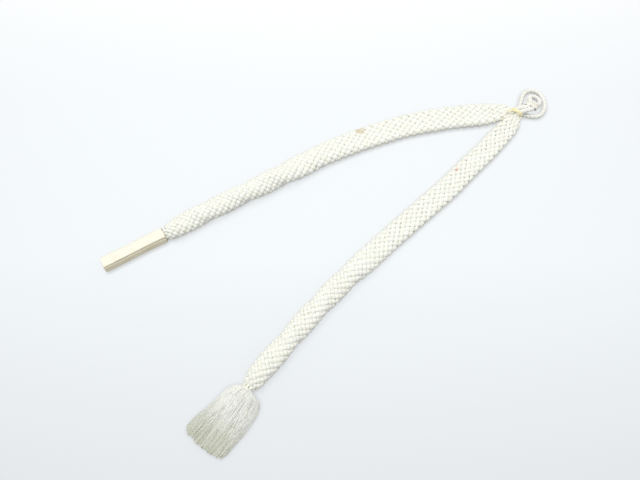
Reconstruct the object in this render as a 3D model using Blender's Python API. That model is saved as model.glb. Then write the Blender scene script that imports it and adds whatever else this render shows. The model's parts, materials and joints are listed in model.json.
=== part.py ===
"""A pair of braided tassel cords, joined at their loops by a thread tie.

Two tubular braids start side by side at the tie.  Each has a thin round cord
loop on the far side of the tie and a tassel at its other end.  The first
cord's tassel is rolled in a paper sleeve, the second one's is open and fanned.
Each braid is cut into five lengths that hinge on one another, with the hinge
axis inside a domed end so that neighbours never meet.

Sizes are in mm and are scaled to metres when a mesh is made.  +Z is up, the
pair lies on the plane z = 0, and the origin is on that plane under the middle
of the thread tie.  Headings are degrees anticlockwise from +X.
"""
import bpy
import bmesh
import math
from mathutils import Matrix, Vector

MM = 0.001
UP = Vector((0, 0, 1))
SMOOTH_ANGLE = 35.0          # edges sharper than this stay sharp, degrees

# ---------------------------------------------------------------- dimensions
GAP = 0.35                   # clearance between neighbouring pieces
JOINT_GAP = GAP + 0.1        # from a dome's full radius to the next piece

# braid sections; a dict gives a value for each cord
FLAT_W = {1: 19.0, 2: 17.5}  # the flat part, near the loops
FLAT_T = 5.5
FULL_W, FULL_T = 15.6, 12.4  # the full part, near the tassel
FULL_FROM, FULL_TO = 112.0, 182.0      # where flat turns into full
HEAD_W, HEAD_T = 4.6, 4.6    # the gathered end at the tie
HEAD_LEN = 19.0              # its taper
END_W, END_T = 11.0, 9.0     # the gathered end at the tassel
END_LEN = 24.0               # its taper

# braid lengths
LENGTHS = 5                  # hinged lengths in each braid
LENGTH_STEPS = 9             # rings along one length
DOME_SWEEP, DOME_STEPS = 78.0, 4       # arc of a domed end, degrees
LAST_DOME_R = {1: END_T / 2, 2: END_W / 2}
LIFT_HINGES = {1: (1, 2, 5), 2: (1, 2)}  # axis lies across; the others stand upright

# braid courses
CORD_LENGTH = {1: 288.0, 2: 290.0}
CORD_BACK = 4.25             # first hinge axes behind the middle of the tie
CORD_SIDE = {1: 2.5, 2: -2.5}          # and to the left of the loops' direction
CORD_1_HEADING, CORD_1_TURN, CORD_1_TURN_LEN = 182.3, 26.9, 195.0
CORD_1_TURN_POWER = 1.5
CORD_2_HEADING, CORD_2_SWAY = 226.2, 3.9
CORD_2_PERIOD, CORD_2_SHIFT = 312.0, 28.6
PATH_STEP = 0.5
PATH_SPARE_STEPS = 41        # steps followed beyond the braid's end

# thread tie
LOOPS_HEADING = 30.0         # from the tie to the loops
LOOP_CORD_D = 3.4            # round cord of both loops
LEG_SPACING = 3.75           # between the two legs of one loop
TIE_LEN, TIE_WALL, TIE_CORNER_R = 2.6, 0.85, 2.3
TIE_W = LEG_SPACING + LOOP_CORD_D + 2 * (TIE_WALL + GAP)
TIE_H = 2 * LOOP_CORD_D + GAP + 2 * (TIE_WALL + GAP)
BAND_CORNER_POINTS = 5
KNOT_D = 3.0
KNOT_SCALE = (1.15, 0.9, 0.7)
KNOT_SEGMENTS, KNOT_RINGS = 12, 8
KNOT_ALONG, KNOT_ACROSS, KNOT_LIFT = -0.6, 1.2, 0.35   # lift is above the tie
TAIL_D, TAIL_SIDES, TAIL_STEPS = 0.9, 6, 8
TAIL_HEADING = CORD_1_HEADING - 6.0
# Bezier points of the tail from the knot's middle: along, up
TAIL_CURVE = ((0.0, 0.0), (3.0, 0.6), (5.5, -0.6), (7.5, -1.6))

# loops
LOOP_R = LOOP_CORD_D / 2
LOOP_SIDES = 10
LEG_START = -TIE_LEN / 2 - 0.1         # the legs stop just past the tie
LEG_STRAIGHT_TO = TIE_LEN / 2 + 0.4
LOW_LEG_Z = TIE_WALL + GAP + LOOP_R    # outer loop's legs in the tie
HIGH_LEG_Z = LOW_LEG_Z + LOOP_CORD_D + GAP     # inner loop's legs
RING_OPEN = 50.0             # half of each ring's opening, degrees
OUTER_RING_C, OUTER_RING_R = (14.6, 10.3), (8.8, 12.2)   # centre, half axes in X, Y
OUTER_RING_Z = LOOP_R * math.cos(math.pi / LOOP_SIDES)   # lies on a facet
INNER_RING_C, INNER_RING_R = (15.2, 12.6), (4.0, 4.0)
INNER_RING_Z = 2.1           # height the inner ring slopes down to

# whipping on the inner loop's legs
WHIP_HEADING = 48.0
WHIP_FROM, WHIP_TO = 9.3, 6.1          # distances short of the ring's centre
WHIP_WALL, WHIP_CORNER_R = 0.6, 2.2
WHIP_Z = 6.95                # height of its middle
NECK_FROM, NECK_TO = WHIP_FROM + 0.6, WHIP_TO - 0.3    # parallel part of the legs
NECK_LEAVE = 1.4             # Bezier handle where the legs leave the whipping

# tassel of cord 1: distances run from where the tassel starts
SLEEVE_LEN, SLEEVE_STEPS = 48.0, 4
SLEEVE_W, SLEEVE_T = 11.6, 8.8
SLEEVE_WALL = 0.7
ROLLED_FROM, ROLLED_TO = 7.5, 45.5     # full part of the rolled-up threads
ROLLED_W, ROLLED_T = 8.6, 6.4
ROLLED_STEPS = 6
SEIZING_1_FROM, SEIZING_1_TO = 2.2, 4.6
SEIZING_1_W, SEIZING_1_T = 8.0, 6.5
SEIZING_1_WALL = 0.75
WAIST_FROM = 0.2             # waist under the seizing
WAIST_W = SEIZING_1_W - 2 * (SEIZING_1_WALL + GAP)
WAIST_T = SEIZING_1_T - 2 * (SEIZING_1_WALL + GAP)
SHOULDER_AT = 5.2            # first widening after the waist
SHOULDER_ADD_W, SHOULDER_ADD_T = 0.4, 0.3

# tassel of cord 2: distances run from the middle of its seizing
FAN_HEADING = 231.5
FAN_LEN = 47.0
FAN_HALF = 14.2              # from the middle to the outermost lock's middle
SEIZING_2_W, SEIZING_2_T, SEIZING_2_LEN = 9.0, 8.0, 3.0
SEIZING_2_WALL = 0.9
SEIZING_2_CLEAR = 0.45       # round the gathered neck inside it
SEIZING_2_INSET = 0.1        # neck's ends inside the seizing's ends
SEIZING_2_Z = 4.4            # height of its middle
LOCKS = 9
MIDDLE_LOCK = (LOCKS + 1) // 2
LOCK_PITCH = 2 * FAN_HALF / (LOCKS - 1)
LOCK_HALF = 1.95             # half width of a fully flared lock
LOCK_STEPS, LOCK_STEP_POWER = 9, 1.25  # rings crowd towards the neck
LOCK_START, MIDDLE_LOCK_START = 2.6, 1.4       # beyond the seizing
LOCK_SHORTEN = 0.10          # per mm away from the middle
UPPER_SHORTEN = 0.8          # upper locks stop this much sooner
LAYER_NECK_T, LAYER_TIP_T = 4.0, 2.5   # one layer of locks
LAYER_THIN_FROM = 4.0        # where the layers start to thin
UPPER_THIN = 0.2             # extra thinning of the upper layer at the tips
# how far the fan is open: at the neck, gained by FLARE_LEN, gained over the whole
FLARE_NECK, FLARE_EARLY, FLARE_WHOLE, FLARE_LEN = 0.30, 0.48, 0.22, 9.0

IVORY = (0.86, 0.85, 0.76)
IVORY_DULL = (0.72, 0.72, 0.62)
PAPER = (0.87, 0.83, 0.70)
GOLD = (0.86, 0.66, 0.22)


# ---------------------------------------------------------------- small helpers
def clamp(x):
    return min(max(x, 0.0), 1.0)


def ease(x):
    x = clamp(x)
    return x * x * (3.0 - 2.0 * x)


def mix(start, end, k):
    return start + (end - start) * k


def polar(degrees):
    a = math.radians(degrees)
    return Vector((math.cos(a), math.sin(a), 0.0))


def left_of(direction):
    return Vector((-direction.y, direction.x, 0.0))


def bezier(p0, p1, p2, p3, steps):
    points = []
    for i in range(steps + 1):
        k = i / steps
        points.append(p0 * (1 - k) ** 3 + p1 * 3 * k * (1 - k) ** 2
                      + p2 * 3 * k * k * (1 - k) + p3 * k ** 3)
    return points


def make_material(name, colour, roughness, shade=1.0):
    material = bpy.data.materials.new(name)
    material.use_nodes = True
    shader = material.node_tree.nodes.get("Principled BSDF")
    shader.inputs["Base Color"].default_value = (*(v * shade for v in colour), 1.0)
    shader.inputs["Roughness"].default_value = roughness
    return material


# ---------------------------------------------------------------- mesh helpers
def add_skin(bm, rings):
    """Join rings of equal point counts into a skin, open at both ends."""
    loops = [[bm.verts.new(p) for p in ring] for ring in rings]
    for first, second in zip(loops, loops[1:]):
        bridge(bm, first, second)
    return loops


def bridge(bm, first, second):
    count = len(first)
    for i in range(count):
        j = (i + 1) % count
        bm.faces.new((first[i], first[j], second[j], second[i]))


def solid(rings):
    """Mesh through the rings, closed at both ends."""
    bm = bmesh.new()
    loops = add_skin(bm, rings)
    bm.faces.new(list(reversed(loops[0])))
    bm.faces.new(loops[-1])
    return bm


def hollow(rings_at, wall):
    """Open tube with a wall; rings_at(inset) gives the rings of one face."""
    bm = bmesh.new()
    outside = add_skin(bm, rings_at(0.0))
    inside = add_skin(bm, rings_at(wall))
    for end in (0, -1):
        bridge(bm, outside[end], inside[end])
    return bm


def new_object(name, bm, material, origin=(0, 0, 0)):
    """Turn a bmesh (in mm) into a named object with the given origin."""
    bmesh.ops.remove_doubles(bm, verts=bm.verts, dist=0.0005)
    bmesh.ops.recalc_face_normals(bm, faces=bm.faces)
    if bm.calc_volume(signed=True) < 0:
        bmesh.ops.reverse_faces(bm, faces=bm.faces)
    origin = Vector(origin)
    bmesh.ops.transform(bm, matrix=Matrix.Scale(MM, 4) @ Matrix.Translation(-origin),
                        verts=bm.verts)
    mesh = bpy.data.meshes.new(name)
    bm.to_mesh(mesh)
    bm.free()
    mesh.materials.append(material)
    mesh.shade_smooth()
    mesh.set_sharp_from_angle(angle=math.radians(SMOOTH_ANGLE))
    ob = bpy.data.objects.new(name, mesh)
    bpy.context.scene.collection.objects.link(ob)
    ob.location = origin * MM
    return ob


def oval_ring(centre, across, width, thick, quarter, flat):
    """Upright oval; flat is the share of its width that is level above and below."""
    flat_half = width / 2 * flat
    round_half = width / 2 - flat_half
    ring = []
    for q, (side, level) in enumerate(((1, -1), (1, 1), (-1, 1), (-1, -1))):
        odd = q % 2              # odd quarters share their first point
        for i in range(odd, quarter + 1):
            a = math.pi / 2 * i / quarter
            y, z = (math.cos(a), math.sin(a)) if odd else (math.sin(a), math.cos(a))
            ring.append(centre + across * (side * (flat_half + round_half * y))
                        + UP * (level * thick / 2 * z))
    return ring


def oval_rings(start, direction, stations, quarter=3, flat=0.35):
    """Ovals on a straight line: stations are along, width, thickness, middle z."""
    return [oval_ring(start + direction * along + UP * z, left_of(direction),
                      width, thick, quarter, flat)
            for along, width, thick, z in stations]


def tube(name, line, radius, sides, material):
    """Round cord along a line of points."""
    rings = []
    for i, p in enumerate(line):
        before = line[max(i - 1, 0)]
        after = line[min(i + 1, len(line) - 1)]
        tangent = (after - before).normalized()
        side = tangent.cross(UP).normalized()
        top = side.cross(tangent).normalized()
        ring = []
        for k in range(sides):       # one facet of every ring faces down
            a = math.radians(270.0 + 180.0 / sides + 360.0 * k / sides)
            ring.append(p + side * (radius * math.cos(a)) + top * (radius * math.sin(a)))
        rings.append(ring)
    return new_object(name, solid(rings), material)


def band(name, middle, direction, length, width, height, wall, corner_r, material):
    """Flattened ring of bound thread, its opening running along direction."""
    wide = left_of(direction)

    def rings_at(inset):
        w, h, r = width - 2 * inset, height - 2 * inset, corner_r - inset
        section = []
        for side, level, start in ((1, -1, -90), (1, 1, 0), (-1, 1, 90), (-1, -1, 180)):
            for i in range(BAND_CORNER_POINTS):
                a = math.radians(start + 90.0 * i / (BAND_CORNER_POINTS - 1))
                section.append((side * (w / 2 - r) + r * math.cos(a),
                                level * (h / 2 - r) + r * math.sin(a)))
        return [[middle + direction * x + wide * y + UP * z for y, z in section]
                for x in (-length / 2, length / 2)]

    return new_object(name, hollow(rings_at, wall), material)


def union(base, *others):
    """Boolean union of closed helper objects into the first one."""
    for ob in others:
        modifier = base.modifiers.new("join", "BOOLEAN")
        modifier.operation = "UNION"
        modifier.solver = "EXACT"
        modifier.object = ob
        ob.hide_render = True
        ob.display_type = "WIRE"


# ---------------------------------------------------------------- loops
ALONG = polar(LOOPS_HEADING)                # from the tie to the loops
ACROSS = left_of(ALONG)


def loop_line(centre, half_axes, leg_z, ring_z, leave, arrive, steps, drop,
              neck_heading=None):
    """Middle line of one loop: up one leg, round the ring, down the other.

    leave and arrive are how far the legs keep the tie's and the ring's
    direction, and drop gives the distances from the tie between which the cord
    comes down from leg_z to ring_z.  With neck_heading, the legs run side by
    side along it from NECK_FROM to NECK_TO short of the ring's centre.
    """
    centre = Vector((*centre, 0.0))
    away = centre.normalized()
    out = away if neck_heading is None else polar(neck_heading)
    back = math.degrees(math.atan2(-out.y, -out.x))  # towards the legs
    ring = []
    for i in range(steps + 1):
        way = polar(back + RING_OPEN + (360 - 2 * RING_OPEN) * i / steps)
        ring.append(centre + Vector((half_axes[0] * way.x, half_axes[1] * way.y, 0)))

    def leg(side, first, second):
        """Leg up to, but without, the ring's end point first."""
        offset = side * LEG_SPACING / 2
        start = ALONG * LEG_START + ACROSS * offset
        bend = ALONG * LEG_STRAIGHT_TO + ACROSS * offset
        join = first - (second - first).normalized() * arrive
        if neck_heading is None:
            curve = bezier(bend, bend + ALONG * leave, join, first, 9)
        else:
            far = centre - out * NECK_FROM + left_of(out) * offset
            near = centre - out * NECK_TO + left_of(out) * offset
            curve = bezier(bend, bend + ALONG * leave, far - out * leave, far, 6)
            curve.append(far.lerp(near, 0.5))
            curve += bezier(near, near + out * NECK_LEAVE, join, first, 6)
        return [start] + curve[:-1]

    # looking from the tie, the ring starts on the right
    right = leg(-1, ring[0], ring[1])
    left = leg(1, ring[-1], ring[-2])
    line = right + ring + left[::-1]
    for p in line:
        p.z = mix(leg_z, ring_z, ease((p.dot(away) - drop[0]) / (drop[1] - drop[0])))
    return line


def build_loops():
    outer = loop_line(OUTER_RING_C, OUTER_RING_R, LOW_LEG_Z, OUTER_RING_Z,
                      leave=1.6, arrive=5.0, steps=26, drop=(2.0, 8.0))
    tube("cord_1_loop", outer, LOOP_R, LOOP_SIDES,
         make_material("loop_cord", IVORY, roughness=0.6))
    inner = loop_line(INNER_RING_C, INNER_RING_R, HIGH_LEG_Z, INNER_RING_Z,
                      leave=3.4, arrive=1.6, steps=22, drop=(13.8, 25.0),
                      neck_heading=WHIP_HEADING)
    tube("cord_2_loop", inner, LOOP_R, LOOP_SIDES,
         make_material("loop_cord_inner", IVORY, roughness=0.62))


def build_whipping():
    """Flat band of fine thread that holds the inner ring's legs together."""
    out = polar(WHIP_HEADING)
    middle = Vector((*INNER_RING_C, WHIP_Z)) - out * ((WHIP_FROM + WHIP_TO) / 2)
    band("cord_2_loop_whipping", middle, out,
         length=WHIP_FROM - WHIP_TO,
         width=LEG_SPACING + LOOP_CORD_D + 2 * (WHIP_WALL + GAP),
         height=LOOP_CORD_D + 2 * (WHIP_WALL + GAP),
         wall=WHIP_WALL, corner_r=WHIP_CORNER_R,
         material=make_material("whipping_thread", IVORY_DULL, roughness=0.55))


def build_tie():
    """Gold band round all four legs, with a knot and a loose tail on top."""
    gold = make_material("tie_thread_gold", GOLD, roughness=0.5)
    tie = band("tie_thread", UP * (TIE_H / 2), ALONG, length=TIE_LEN, width=TIE_W,
               height=TIE_H, wall=TIE_WALL, corner_r=TIE_CORNER_R, material=gold)

    knot_at = ACROSS * KNOT_ACROSS + ALONG * KNOT_ALONG + UP * (TIE_H + KNOT_LIFT)
    bm = bmesh.new()
    bmesh.ops.create_uvsphere(bm, u_segments=KNOT_SEGMENTS, v_segments=KNOT_RINGS,
                              radius=KNOT_D / 2)
    bmesh.ops.scale(bm, vec=KNOT_SCALE, verts=bm.verts)
    bmesh.ops.translate(bm, vec=knot_at, verts=bm.verts)
    knot = new_object("knot_tool", bm, gold)

    curve = [knot_at + polar(TAIL_HEADING) * along + UP * z for along, z in TAIL_CURVE]
    tail = tube("tail_tool", bezier(*curve, TAIL_STEPS), TAIL_D / 2, TAIL_SIDES, gold)
    union(tie, knot, tail)


# ---------------------------------------------------------------- braids
def heading(cord, distance):
    """Heading of a braid in degrees, at a distance from its first hinge."""
    if cord == 1:
        k = clamp(distance / CORD_1_TURN_LEN)
        return (CORD_1_HEADING
                + CORD_1_TURN * math.sin(math.pi / 2 * k) ** CORD_1_TURN_POWER)
    return CORD_2_HEADING + CORD_2_SWAY * math.cos(
        2 * math.pi * (distance + CORD_2_SHIFT) / CORD_2_PERIOD)


class Path:
    """A braid's middle line in plan, found by following its heading."""

    def __init__(self, cord):
        self.cord = cord
        start = ACROSS * CORD_SIDE[cord] - ALONG * CORD_BACK
        x, y = start.x, start.y
        self.points = [(x, y)]
        for i in range(int(CORD_LENGTH[cord] / PATH_STEP) + PATH_SPARE_STEPS):
            a = math.radians(heading(cord, (i + 0.5) * PATH_STEP))
            x += math.cos(a) * PATH_STEP
            y += math.sin(a) * PATH_STEP
            self.points.append((x, y))

    def at(self, distance):
        """Point and unit left-hand normal; straight on before the start."""
        tangent = polar(heading(self.cord, max(distance, 0.0)))
        if distance < 0:
            point = Vector((*self.points[0], 0.0)) + tangent * distance
        else:
            i = min(int(distance / PATH_STEP), len(self.points) - 2)
            k = distance / PATH_STEP - i
            (x0, y0), (x1, y1) = self.points[i:i + 2]
            point = Vector((mix(x0, x1, k), mix(y0, y1, k), 0.0))
        return point, left_of(tangent)


PATHS = {1: Path(1), 2: Path(2)}


def braid_size(cord, distance):
    """Width and thickness of a braid at a distance from its first hinge."""
    full = ease((distance - FULL_FROM) / (FULL_TO - FULL_FROM))
    head = clamp(distance / HEAD_LEN)
    end = ease((distance - (CORD_LENGTH[cord] - END_LEN)) / END_LEN)
    width = mix(mix(HEAD_W, mix(FLAT_W[cord], FULL_W, full), head), END_W, end)
    thick = mix(mix(HEAD_T, mix(FLAT_T, FULL_T, full), head), END_T, end)
    return width, thick


def hinge_at(cord, k):
    """Distance of hinge k along a braid: 0 is at the tie, LENGTHS at the tassel."""
    return (CORD_LENGTH[cord] - LAST_DOME_R[cord]) * k / LENGTHS


def braid_ring(cord, distance, width, thick, middle_z):
    point, left = PATHS[cord].at(distance)
    return oval_ring(point + UP * middle_z, left, width, thick, quarter=4, flat=0.55)


def body_ring(cord, distance):
    width, thick = braid_size(cord, distance)
    return braid_ring(cord, distance, width, thick, thick / 2)


def dome_rings(cord, k, steps):
    """Rings round hinge k; negative steps are on the side towards the tie."""
    hinge = hinge_at(cord, k)
    width, thick = braid_size(cord, hinge)
    rings = []
    for step in steps:
        a = math.radians(DOME_SWEEP * step / DOME_STEPS)
        if k in LIFT_HINGES[cord]:
            rings.append(braid_ring(cord, hinge + thick / 2 * math.sin(a),
                                    width, thick * math.cos(a), thick / 2))
        else:
            rings.append(braid_ring(cord, hinge + width / 2 * math.sin(a),
                                    width * math.cos(a), thick, thick / 2))
    return rings


def braid_length(cord, k, material):
    """Length k (1 to 5) of a braid; only the first is domed at its near end."""
    near, far = hinge_at(cord, k - 1), hinge_at(cord, k)
    width, thick = braid_size(cord, near)
    near_lifts = k - 1 in LIFT_HINGES[cord]
    if k == 1:
        first = 0.0
        rings = dome_rings(cord, 0, range(-DOME_STEPS, 1))
    else:
        first = near + (thick if near_lifts else width) / 2 + JOINT_GAP
        rings = [body_ring(cord, first)]
    for i in range(1, LENGTH_STEPS + 1):
        rings.append(body_ring(cord, first + (far - first) * i / LENGTH_STEPS))
    rings += dome_rings(cord, k, range(1, DOME_STEPS + 1))
    point, _ = PATHS[cord].at(near)
    new_object("cord_%d_braid_%d" % (cord, k), solid(rings), material,
               origin=(point.x, point.y, thick / 2 if near_lifts else 0.0))


def build_braids():
    for cord in (1, 2):
        for k in range(1, LENGTHS + 1):
            braid_length(cord, k, make_material(
                "braid_silk_%d_%d" % (cord, k), IVORY, roughness=0.62,
                shade=1.0 - 0.02 * ((k + cord) % 2)))


# ---------------------------------------------------------------- cord 1 tassel
def build_rolled_tassel():
    """Seizing, rolled-up threads and the paper sleeve round both."""
    hinge = hinge_at(1, LENGTHS)
    pivot, _ = PATHS[1].at(hinge)
    direction = polar(heading(1, hinge))
    start = pivot + direction * (LAST_DOME_R[1] + JOINT_GAP)
    middle_z = SLEEVE_T / 2
    origin = (pivot.x, pivot.y, END_T / 2)

    def seizing_rings(inset):
        return oval_rings(start, direction, [
            (along, SEIZING_1_W - 2 * inset, SEIZING_1_T - 2 * inset, middle_z)
            for along in (SEIZING_1_FROM, SEIZING_1_TO)])

    new_object("cord_1_seizing", hollow(seizing_rings, SEIZING_1_WALL),
               make_material("seizing_thread_1", IVORY_DULL, roughness=0.55), origin)

    stations = [
        (WAIST_FROM, WAIST_W, WAIST_T, middle_z),
        (SEIZING_1_TO + GAP, WAIST_W, WAIST_T, middle_z),
        (SHOULDER_AT, WAIST_W + SHOULDER_ADD_W, WAIST_T + SHOULDER_ADD_T, middle_z),
    ]
    for i in range(ROLLED_STEPS + 1):
        along = mix(ROLLED_FROM, ROLLED_TO, i / ROLLED_STEPS)
        stations.append((along, ROLLED_W, ROLLED_T, middle_z))
    new_object("cord_1_tassel", solid(oval_rings(start, direction, stations)),
               make_material("tassel_silk_1", IVORY_DULL, roughness=0.6), origin)

    def sleeve_rings(inset):
        return oval_rings(start, direction, [
            (SLEEVE_LEN * i / SLEEVE_STEPS, SLEEVE_W - 2 * inset, SLEEVE_T - 2 * inset,
             middle_z)
            for i in range(SLEEVE_STEPS + 1)], quarter=5, flat=0.3)

    new_object("cord_1_paper_sleeve", hollow(sleeve_rings, SLEEVE_WALL),
               make_material("sleeve_paper", PAPER, roughness=0.75),
               origin=(pivot.x, pivot.y, middle_z))


# ---------------------------------------------------------------- cord 2 tassel
FAN_OUT = polar(FAN_HEADING)
FAN_ACROSS = left_of(FAN_OUT)
# middle of the seizing in plan
FAN_NECK = PATHS[2].at(CORD_LENGTH[2] + JOINT_GAP)[0] + FAN_OUT * (SEIZING_2_LEN / 2)


def build_fan_seizing():
    def rings_at(inset):
        return oval_rings(FAN_NECK, FAN_OUT, [
            (along, SEIZING_2_W - 2 * inset, SEIZING_2_T - 2 * inset, SEIZING_2_Z)
            for along in (-SEIZING_2_LEN / 2, SEIZING_2_LEN / 2)])

    pivot, _ = PATHS[2].at(hinge_at(2, LENGTHS))
    new_object("cord_2_seizing", hollow(rings_at, SEIZING_2_WALL),
               make_material("seizing_thread_2", IVORY_DULL, roughness=0.55),
               origin=pivot)


def flare(along):
    """How far the fan has opened, 0 to 1."""
    return (FLARE_NECK + FLARE_EARLY * math.sin(math.pi / 2 * clamp(along / FLARE_LEN))
            + FLARE_WHOLE * along / FAN_LEN)


def layer_height(along, upper):
    """Bottom and top of a layer of locks."""
    k = clamp((along - LAYER_THIN_FROM) / (FAN_LEN - LAYER_THIN_FROM))
    thick = mix(LAYER_NECK_T, LAYER_TIP_T, k)
    if upper:
        return thick + GAP, 2 * thick + GAP - UPPER_THIN * k
    return 0.0, thick


def fringe_lock(i, material):
    """Fringe lock i, numbered from 1 towards +X; even ones lie on top."""
    upper = i % 2 == 0
    offset = (i - MIDDLE_LOCK) * LOCK_PITCH
    reach = FAN_LEN - LOCK_SHORTEN * abs(offset) - (UPPER_SHORTEN if upper else 0.0)
    rings = []

    def add_ring(along, across, width, thick, z):
        centre = FAN_NECK + FAN_OUT * along + FAN_ACROSS * across + UP * z
        rings.append(oval_ring(centre, FAN_ACROSS, width, thick, quarter=2, flat=0.35))

    start = SEIZING_2_LEN / 2 + LOCK_START
    if i == MIDDLE_LOCK:
        # the middle lock carries the gathered neck that fills the seizing
        start = SEIZING_2_LEN / 2 + MIDDLE_LOCK_START
        inset = 2 * (SEIZING_2_WALL + SEIZING_2_CLEAR)
        end = SEIZING_2_LEN / 2 - SEIZING_2_INSET
        for along in (-end, end):
            add_ring(along, 0.0, SEIZING_2_W - inset, SEIZING_2_T - inset, SEIZING_2_Z)
    for j in range(LOCK_STEPS + 1):
        along = mix(start, reach, (j / LOCK_STEPS) ** LOCK_STEP_POWER)
        opened = flare(along)
        bottom, top = layer_height(along, upper)
        add_ring(along, offset * opened, 2 * LOCK_HALF * opened, top - bottom,
                 (bottom + top) / 2)
    new_object("cord_2_fringe_%d" % i, solid(rings), material, origin=FAN_NECK)


def build_fringe():
    for i in range(1, LOCKS + 1):
        fringe_lock(i, make_material("fringe_silk_%d" % i, IVORY_DULL, roughness=0.6,
                                     shade=0.94 + 0.06 * (i % 2)))


# ---------------------------------------------------------------- build
for old in list(bpy.data.objects):
    bpy.data.objects.remove(old, do_unlink=True)

build_loops()
build_whipping()
build_tie()
build_braids()
build_rolled_tassel()
build_fan_seizing()
build_fringe()
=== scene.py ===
"""A pair of braided silk cords, tied together behind two loops.

The cords lie on the table, z = 0, and their tie is over the origin. The loops point to +x +y
and the cords run away from them: cord 1 mostly to -x, cord 2 to -x -y. Cord 1 ends in a bundle
of threads rolled in a strip of paper, cord 2 in a spread fringe. Each braid has sixteen strands,
laid over and under each other, and each loop eight. Shapes are in millimetres and are scaled
when a mesh is made.
"""
import json
import math

import bpy
import numpy as np
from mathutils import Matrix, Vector

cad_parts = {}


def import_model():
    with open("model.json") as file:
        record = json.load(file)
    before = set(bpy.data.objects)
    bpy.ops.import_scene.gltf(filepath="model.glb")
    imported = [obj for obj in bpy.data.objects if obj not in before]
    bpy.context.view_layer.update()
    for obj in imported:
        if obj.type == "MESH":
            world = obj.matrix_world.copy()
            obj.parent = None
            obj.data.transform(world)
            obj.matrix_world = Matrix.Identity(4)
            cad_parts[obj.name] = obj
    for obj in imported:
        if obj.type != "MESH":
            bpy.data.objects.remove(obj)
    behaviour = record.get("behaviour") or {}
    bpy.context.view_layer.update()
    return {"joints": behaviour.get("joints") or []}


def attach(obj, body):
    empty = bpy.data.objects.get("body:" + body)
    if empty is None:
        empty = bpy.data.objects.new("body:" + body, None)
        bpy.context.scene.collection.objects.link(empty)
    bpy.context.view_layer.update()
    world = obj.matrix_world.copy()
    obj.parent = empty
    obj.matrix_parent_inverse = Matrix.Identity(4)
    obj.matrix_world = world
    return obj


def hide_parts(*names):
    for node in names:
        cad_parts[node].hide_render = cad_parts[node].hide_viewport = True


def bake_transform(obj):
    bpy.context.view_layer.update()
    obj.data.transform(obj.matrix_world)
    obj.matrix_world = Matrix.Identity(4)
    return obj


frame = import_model()

MM = 0.001
TAU = 2 * math.pi
UP = np.array([0.0, 0.0, 1.0])
JOINTS = {joint["name"]: joint for joint in frame["joints"]}


# ------------------------------------------------------------------ small helpers
def joint_at(name):
    return np.array(JOINTS[name]["pos_m"], float) * 1000.0


def rng_for(*key):
    """A generator of its own for each thing, so that nothing depends on order."""
    return np.random.default_rng([17] + list(key))


def unit(vectors):
    return vectors / (np.linalg.norm(vectors, axis=-1, keepdims=True) + 1e-12)


def polar(degrees):
    """Unit vector on the table, anticlockwise from +x."""
    angle = math.radians(degrees)
    return np.array([math.cos(angle), math.sin(angle), 0.0])


def left_of(direction):
    return np.array([-direction[1], direction[0], 0.0])


def in_metres(point):
    return tuple(point * MM)


def ease(x):
    """Smooth step from 0 to 1."""
    x = np.clip(x, 0.0, 1.0)
    return x * x * (3 - 2 * x)


def signed_power(values, power):
    return np.sign(values) * np.abs(values) ** power


def gauss_weights(offsets):
    weights = np.exp(-0.5 * offsets ** 2)
    return weights / weights.sum()


def blur(values, reach, spread):
    """Gaussian smoothing; reach and spread are counted in samples."""
    weights = gauss_weights(np.arange(-reach, reach + 1) / spread)
    return np.convolve(np.pad(values, reach, "edge"), weights, "valid")


def arc_length(points):
    """Distance from the first point to each point, along the line through them."""
    gaps = np.linalg.norm(np.diff(points, axis=0), axis=1)
    return np.concatenate([[0], np.cumsum(gaps)])


def soft_noise(along, step, rng, amount):
    """Smooth random values: random knots every step, a cubic curve between them."""
    low = along.min() - 3 * step
    high = along.max() + 3 * step
    count = int((high - low) / step) + 4
    knots = rng.normal(0, 1, count)
    place = (along - low) / step
    i = np.clip(place.astype(int), 1, count - 3)
    part = place - i
    before, here, after, beyond = (knots[i + k] for k in (-1, 0, 1, 2))
    return amount * (0.5 * (2 * here + (after - before) * part
                            + (2 * before - 5 * here + 4 * after - beyond) * part ** 2
                            + (3 * here - before - 3 * after + beyond) * part ** 3))


# ------------------------------------------------------------------ middle lines
CORD_LENGTH = {1: 288.0, 2: 290.0}
LAST_HINGE_INSET = {1: 4.5, 2: 5.5}     # from the tassel's hinge to the cord's end
NECK_HEADING = 30.0                     # direction of the tie, towards the loops
ALONG = polar(NECK_HEADING)
ACROSS = left_of(ALONG)


def heading(cord, along):
    """Direction of a cord in degrees, anticlockwise from +x."""
    along = np.maximum(along, 0.0)
    if cord == 1:
        return 182.3 + 26.9 * np.sin(math.pi / 2 * np.clip(along / 195.0, 0, 1)) ** 1.5
    return 226.2 + 3.9 * np.cos(TAU * (along + 28.6) / 312.0)


class Line:
    """A braid's middle line in plan, by its distance from the cord's swing axis."""

    def __init__(self, cord):
        start = joint_at("cord_%d_swing" % cord)
        step = 0.25
        self.along = np.arange(-8.0, CORD_LENGTH[cord] + 12.0, step)
        middle = self.along + step / 2
        angle = np.radians(heading(cord, middle))
        # behind the swing axis the gathered strands run straight into the tie
        angle = np.where(middle < 0, math.radians(NECK_HEADING + 180.0), angle)
        angle = blur(angle, 28, 9.0)
        x = np.concatenate([[0], np.cumsum(np.cos(angle[:-1]) * step)])
        y = np.concatenate([[0], np.cumsum(np.sin(angle[:-1]) * step)])
        zero = np.searchsorted(self.along, 0.0)
        self.x = x - x[zero] + start[0]
        self.y = y - y[zero] + start[1]
        self.angle = np.concatenate([angle[:1], angle[:-1]])

    def at(self, along):
        return [np.interp(along, self.along, values) for values in (self.x, self.y, self.angle)]

    def point(self, along, left=0.0, z=0.0):
        x, y, angle = self.at(along)
        return np.array([x - math.sin(angle) * left, y + math.cos(angle) * left, z])


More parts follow.
